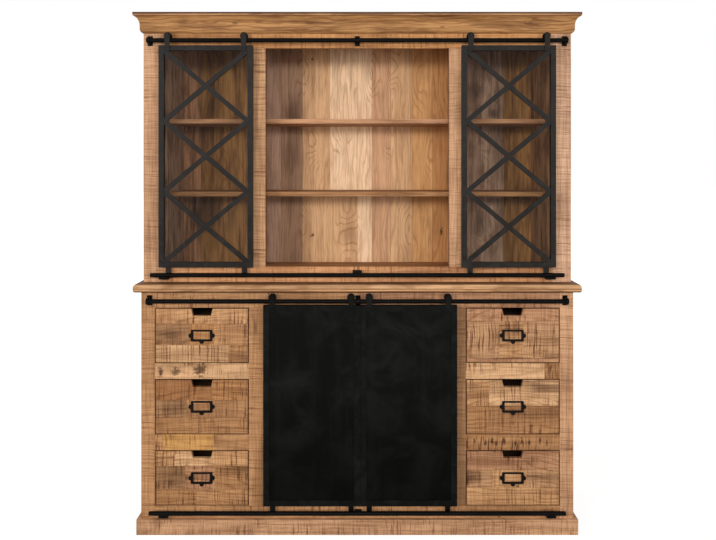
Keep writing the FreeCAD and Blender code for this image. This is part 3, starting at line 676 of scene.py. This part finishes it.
# Each drawer front: rows of boards from the bottom up, dark heartwood, and places with strong saw marks
drawer_looks = {
    "left_top": (
        [
            (0.0, [(-1, pale), (-0.54, brown)]),
            (0.794, [(-1, umber), (-0.709, rust), (-0.604, tan)]),
            (0.884, [(-1, tan), (-0.767, honey)]),
        ],
        [((-0.79, 0.835), (0.06, 0.035), 0.7), ((-0.50, 0.745), (0.07, 0.03), 0.6)],
        [((-0.79, 0.76), (0.09, 0.05), 0.8), ((-0.66, 0.755), (0.06, 0.05), 0.6)],
    ),
    "left_middle": (
        [
            (0.0, [(-1, brown), (-0.70, brown)]),
            (0.488, [(-1, umber), (-0.72, tan)]),
            (0.562, [(-1, chestnut), (-0.614, rust)]),
        ],
        [((-0.77, 0.525), (0.08, 0.035), 0.6), ((-0.5, 0.60), (0.08, 0.03), 0.3)],
        [((-0.75, 0.60), (0.12, 0.05), 0.5), ((-0.52, 0.61), (0.1, 0.04), 0.6)],
    ),
    "left_bottom": (
        [
            (0.0, [(-1, brown), (-0.679, tan)]),
            (0.186, [(-1, umber), (-0.726, rosy), (-0.603, brown)]),
            (0.2835, [(-1, honey), (-0.772, pale), (-0.614, honey)]),
        ],
        [((-0.77, 0.235), (0.09, 0.045), 0.4), ((-0.51, 0.265), (0.08, 0.03), 0.6)],
        [
            ((-0.76, 0.15), (0.09, 0.04), 0.9),
            ((-0.52, 0.15), (0.09, 0.04), 0.8),
            ((-0.52, 0.31), (0.05, 0.03), 0.6),
        ],
    ),
    "right_top": (
        [
            (0.0, one_tone(rosy)),
            (0.738, [(0, sand), (0.60, honey), (0.70, sand)]),
            (0.8955, one_tone(rosy)),
        ],
        [
            ((0.62, 0.83), (0.10, 0.05), 0.35),
            ((0.66, 0.7385), (0.13, 0.0065), 1.0),
            ((0.81, 0.7385), (0.06, 0.005), 1.0),
        ],
        [((0.54, 0.83), (0.08, 0.07), 0.9), ((0.76, 0.83), (0.09, 0.07), 0.9)],
    ),
    "right_middle": (
        [(0.0, one_tone(brown)), (0.537, [(0, honey), (0.557, pale)])],
        [
            ((0.80, 0.612), (0.11, 0.026), 1.0),
            ((0.74, 0.628), (0.06, 0.014), 0.6),
            ((0.49, 0.62), (0.04, 0.02), 0.5),
            ((0.62, 0.47), (0.14, 0.04), 0.25),
        ],
        [((0.56, 0.47), (0.09, 0.06), 0.7)],
    ),
    "right_bottom": (
        [
            (0.0, one_tone(honey)),
            (0.193, [(0, sand), (0.57, honey), (0.7135, sand)]),
            (0.2665, one_tone(rosy)),
        ],
        [((0.485, 0.232), (0.055, 0.040), 0.9), ((0.77, 0.235), (0.08, 0.02), 0.6)],
        [((0.49, 0.235), (0.04, 0.04), 0.6)],
    ),
}

# Each drawer's seed, the share of its width at which the arches of its grain meet, and the width of the
# painted shade along its edge, for the gap round it
DRAWER_SEED = 20.0
LOWEST_ARCH = 0.30
NEXT_ARCH = 0.25
DRAWER_GAP_SHADE = 0.004

door_steel = steel("door_steel", srgb(25, 22, 19), 0.7, 0.42, 0.08, cloud_waves=22)
sheet_steel = steel("sheet_steel", srgb(10, 10, 8), 0.8, 0.38, 0.03, runs=0.4, fade=(0.15, 0.75, 0.6))
black_steel = steel("black_steel", srgb(10, 10, 9), 0.6, 0.42, 0.04, cloud_waves=14)
rod_steel = steel("rod_steel", srgb(6, 5, 4), 0.3, 0.35, 0.04, cloud_waves=14)
label_metal = steel("label_metal", srgb(12, 9, 7), 0.3, 0.4, 0.06)
pane_glass = clear_glass("pane_glass")

for column, side in enumerate(SIDES):
    finish_of[side + "_glass_door_frame"] = door_steel
    finish_of[side + "_glass_door_pane"] = pane_glass
    finish_of[side + "_steel_door_frame"] = black_steel
    finish_of[side + "_steel_door_panel"] = sheet_steel
    for door in ("glass", "steel"):
        for wheel in SIDES:
            finish_of[side + "_" + door + "_door_" + wheel + "_wheel"] = black_steel
    for row, level in enumerate(LEVELS):
        drawer = side + "_" + level + "_drawer"
        finish_of[drawer + "_box"] = box_wood_painted_shade
        finish_of[drawer + "_label_holder"] = label_metal
        rows, patches, ticks = drawer_looks[side + "_" + level]
        seed = DRAWER_SEED + row + column * len(LEVELS)
        low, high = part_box(drawer + "_front")
        arch = low.x + (LOWEST_ARCH + NEXT_ARCH * row) * (high.x - low.x)
        finish_of[drawer + "_front"] = wood(
            drawer + "_wood", "X", seed, cells=("Z", "X", rows), saw=0.75, saw_pitch=0.007, saw_length=0.26,
            patches=patches, ticks=ticks, figure=0.6, peak=arch, rim=(low, high, DRAWER_GAP_SHADE),
        )
for rod in ("hutch_track_rod", "base_track_rod", "hutch_guide_rod", "base_guide_rod"):
    finish_of[rod] = rod_steel
finish_of["track_brackets"] = rod_steel
finish_of["guide_brackets"] = rod_steel

for name, piece in nodes.items():
    piece.data.materials.clear()
    piece.data.materials.append(finish_of[name])


# Eased edges

WELD_REACH = 0.00001
EASE_WIDTH = 0.001
EASE_SEGMENTS = 2
SHARPEST_LEFT = math.radians(50)


def ease_edges(name):
    """Rounds a wooden piece's sharp edges."""
    weld = nodes[name].modifiers.new("weld", "WELD")
    weld.merge_threshold = WELD_REACH
    bevel = nodes[name].modifiers.new("ease", "BEVEL")
    bevel.width = EASE_WIDTH
    bevel.segments = EASE_SEGMENTS
    bevel.limit_method = "ANGLE"
    bevel.angle_limit = SHARPEST_LEFT
    bevel.harden_normals = True


for name in ("base_stiles", "hutch_stiles", "base_rails", "hutch_rails", "hutch_shelves", "base_shelf"):
    ease_edges(name)
for name in nodes:
    if name.endswith("_drawer_front"):
        ease_edges(name)


# Screws

# A screw head from its foot to the floor of its socket: share of the radius, share of the height, and
# whether the ring is a hexagon
SCREW_RINGS = (
    (1.0, 0.0, False), (1.0, 0.45, False), (0.93, 0.78, False),
    (0.76, 1.0, False), (0.52, 1.0, True), (0.52, 0.3, True),
)
SCREW_SIDES = 24
HEXAGON_SIDE = math.pi / 3

# Radius and height of each kind of screw head
BRACKET_SCREW = (0.0032, 0.0020)
LABEL_SCREW = (0.0028, 0.0016)
STRAP_SCREW = (0.0034, 0.0022)


def screw_mesh(radius, height):
    """A round screw head with a hexagon socket, lying on XZ and looking along -Y."""
    points = []
    for share, rise, hexagon in SCREW_RINGS:
        for side in range(SCREW_SIDES):
            angle = 2 * math.pi * side / SCREW_SIDES
            away = share * radius
            if hexagon:
                turn = angle % HEXAGON_SIDE - HEXAGON_SIDE / 2
                away = away * math.cos(HEXAGON_SIDE / 2) / math.cos(turn)
            points.append((away * math.cos(angle), -rise * height, away * math.sin(angle)))
    faces = []
    last_ring = len(SCREW_RINGS) - 1
    for ring in range(last_ring):
        for side in range(SCREW_SIDES):
            after = (side + 1) % SCREW_SIDES
            low = ring * SCREW_SIDES
            high = low + SCREW_SIDES
            faces.append((low + side, low + after, high + after, high + side))
    faces.append(tuple(last_ring * SCREW_SIDES + side for side in range(SCREW_SIDES)))
    return points, faces


def add_screws(name, places, head, body, material):
    """One piece with a screw head at each place, on a face that looks along -Y."""
    points, faces = [], []
    head_points, head_faces = screw_mesh(*head)
    for place in places:
        first = len(points)
        points.extend((x + place[0], y + place[1], z + place[2]) for x, y, z in head_points)
        faces.extend(tuple(first + corner for corner in face) for face in head_faces)
    mesh = bpy.data.meshes.new(name)
    mesh.from_pydata(points, [], faces)
    mesh.materials.append(material)
    piece = bpy.data.objects.new(name, mesh)
    bpy.context.scene.collection.objects.link(piece)
    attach(piece, body)


BRACKET_PLATE = 0.004
BRACKET_SCREW_RISE = 0.0165

# The brackets of each track rod: how far the outer two stand in from the stiles' outer edges, and where
# the middle one stands
bracket_insets = {"hutch": (0.029, 0.0), "base": (0.036, 0.003)}
bracket_screws = []
for part, (inset, centre) in bracket_insets.items():
    stiles_low, stiles_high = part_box(part + "_stiles")
    rod_low, rod_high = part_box(part + "_track_rod")
    height = (rod_low.z + rod_high.z) / 2
    out = stiles_high.x - inset
    for x in (-out, centre, out):
        for rise in (-BRACKET_SCREW_RISE, BRACKET_SCREW_RISE):
            bracket_screws.append((x, stiles_low.y - BRACKET_PLATE, height + rise))
add_screws("track_bracket_screws", bracket_screws, BRACKET_SCREW, "cabinet", rod_steel)

LABEL_SCREW_OUT = 0.046
STRAP_SCREW_OUT = 0.0055
STRAP_LAP = 0.024
BOLT_HEAD = 0.003

# Each kind of door: its sheet, and the width and finish of the tubes round the sheet
door_looks = (("glass", "pane", 0.022, door_steel), ("steel", "panel", 0.025, black_steel))
for side in SIDES:
    for level in LEVELS:
        drawer = side + "_" + level + "_drawer"
        low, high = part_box(drawer + "_front")
        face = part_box(drawer + "_label_holder")[0].y
        middle = (low + high) / 2
        places = [(middle.x + out, face, middle.z) for out in (-LABEL_SCREW_OUT, LABEL_SCREW_OUT)]
        add_screws(drawer + "_label_screws", places, LABEL_SCREW, drawer, label_metal)
    for door, sheet, tube_width, finish in door_looks:
        name = side + "_" + door + "_door"
        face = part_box(name + "_frame")[0].y + BOLT_HEAD
        door_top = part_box(name + "_" + sheet)[1].z + tube_width
        places = []
        for wheel in SIDES:
            low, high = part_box(name + "_" + wheel + "_wheel")
            centre = (low.x + high.x) / 2
            for out in (-STRAP_SCREW_OUT, STRAP_SCREW_OUT):
                places.append((centre + out, face, door_top - STRAP_LAP / 2))
        add_screws(name + "_strap_screws", places, STRAP_SCREW, name, finish)


# Floor, light and camera

# The floor's half width and its grey; it goes from nearly white at the cabinet to white further off
FLOOR_REACH = 40.0
FLOOR_GREY = 0.35
FLOOR_FADE = (1.2, 4.5)
FLOOR_WHITE = (0.80, 1.0)

# How strongly the white surroundings light the cabinet, and how white they look
WORLD_LIGHT = 0.48
WORLD_WHITE = 1.0

# The point that the lamps face, and each lamp's place, width and height, and power in watts
LAMP_TARGET = (0, 0, 1.2)
LAMPS = {
    "left": ((-3.0, -5.6, 2.2), (1.2, 2.2), 125),
    "right": ((3.0, -5.6, 2.0), (1.2, 2.2), 85),
    "front": ((0.0, -5.6, 2.4), (1.8, 0.6), 105),
}

# The camera's place, and its lens in pixels of the photograph
EYE = (0.003, -3.315, 1.554)
IMAGE_WIDTH = 716
FOCAL_PIXELS = 741
HORIZON_ABOVE_MIDDLE = 105
SENSOR_WIDTH = 36.0


def add_floor():
    """A wide white floor that keeps the cabinet's shadow."""
    mesh = bpy.data.meshes.new("floor")
    signs = ((-1, -1), (1, -1), (1, 1), (-1, 1))
    corners = [(x * FLOOR_REACH, y * FLOOR_REACH, 0) for x, y in signs]
    mesh.from_pydata(corners, [], [(0, 1, 2, 3)])
    floor = bpy.data.objects.new("floor", mesh)
    bpy.context.scene.collection.objects.link(floor)
    g = Graph(bpy.data.materials.new("floor_white"))
    plain = g.add("ShaderNodeBsdfDiffuse", {"Color": grey(FLOOR_GREY)})
    x, y, _ = g.position()
    white = g.smooth(g.length(x, y), *FLOOR_FADE, *FLOOR_WHITE)
    strength = g.math("MULTIPLY", g.seen(), white)
    glow = g.add("ShaderNodeEmission", {"Color": grey(1.0), "Strength": strength})
    mesh.materials.append(g.finish(g.add("ShaderNodeAddShader", {0: plain.outputs[0], 1: glow.outputs[0]})))


def add_world():
    """Plain white surroundings that light the cabinet softly."""
    g = Graph(bpy.data.worlds.new("white"), "ShaderNodeOutputWorld")
    strength = g.smooth(g.seen(), 0.0, 1.0, WORLD_LIGHT, WORLD_WHITE)
    background = g.add("ShaderNodeBackground", {"Color": grey(1.0), "Strength": strength})
    bpy.context.scene.world = g.finish(background)


def add_lamp(name, place, size, power):
    """A soft lamp of some width and height that faces the cabinet."""
    lamp = bpy.data.lights.new(name, "AREA")
    lamp.shape = "RECTANGLE"
    lamp.size, lamp.size_y = size
    lamp.energy = power
    holder = bpy.data.objects.new(name, lamp)
    holder.location = place
    holder.rotation_euler = (Vector(LAMP_TARGET) - Vector(place)).to_track_quat("-Z", "Y").to_euler()
    bpy.context.scene.collection.objects.link(holder)


def add_camera():
    """A level camera in front of the cabinet's middle, with the frame shifted down from its horizon."""
    camera = bpy.data.cameras.new("camera")
    camera.sensor_width = SENSOR_WIDTH
    camera.lens = SENSOR_WIDTH * FOCAL_PIXELS / IMAGE_WIDTH
    camera.shift_y = -HORIZON_ABOVE_MIDDLE / IMAGE_WIDTH
    holder = bpy.data.objects.new("camera", camera)
    holder.location = EYE
    holder.rotation_euler = (math.pi / 2, 0, 0)
    bpy.context.scene.collection.objects.link(holder)
    bpy.context.scene.camera = holder


add_floor()
add_world()
for name, (place, size, power) in LAMPS.items():
    add_lamp(name, place, size, power)
add_camera()
bpy.context.scene.view_settings.view_transform = "Standard"
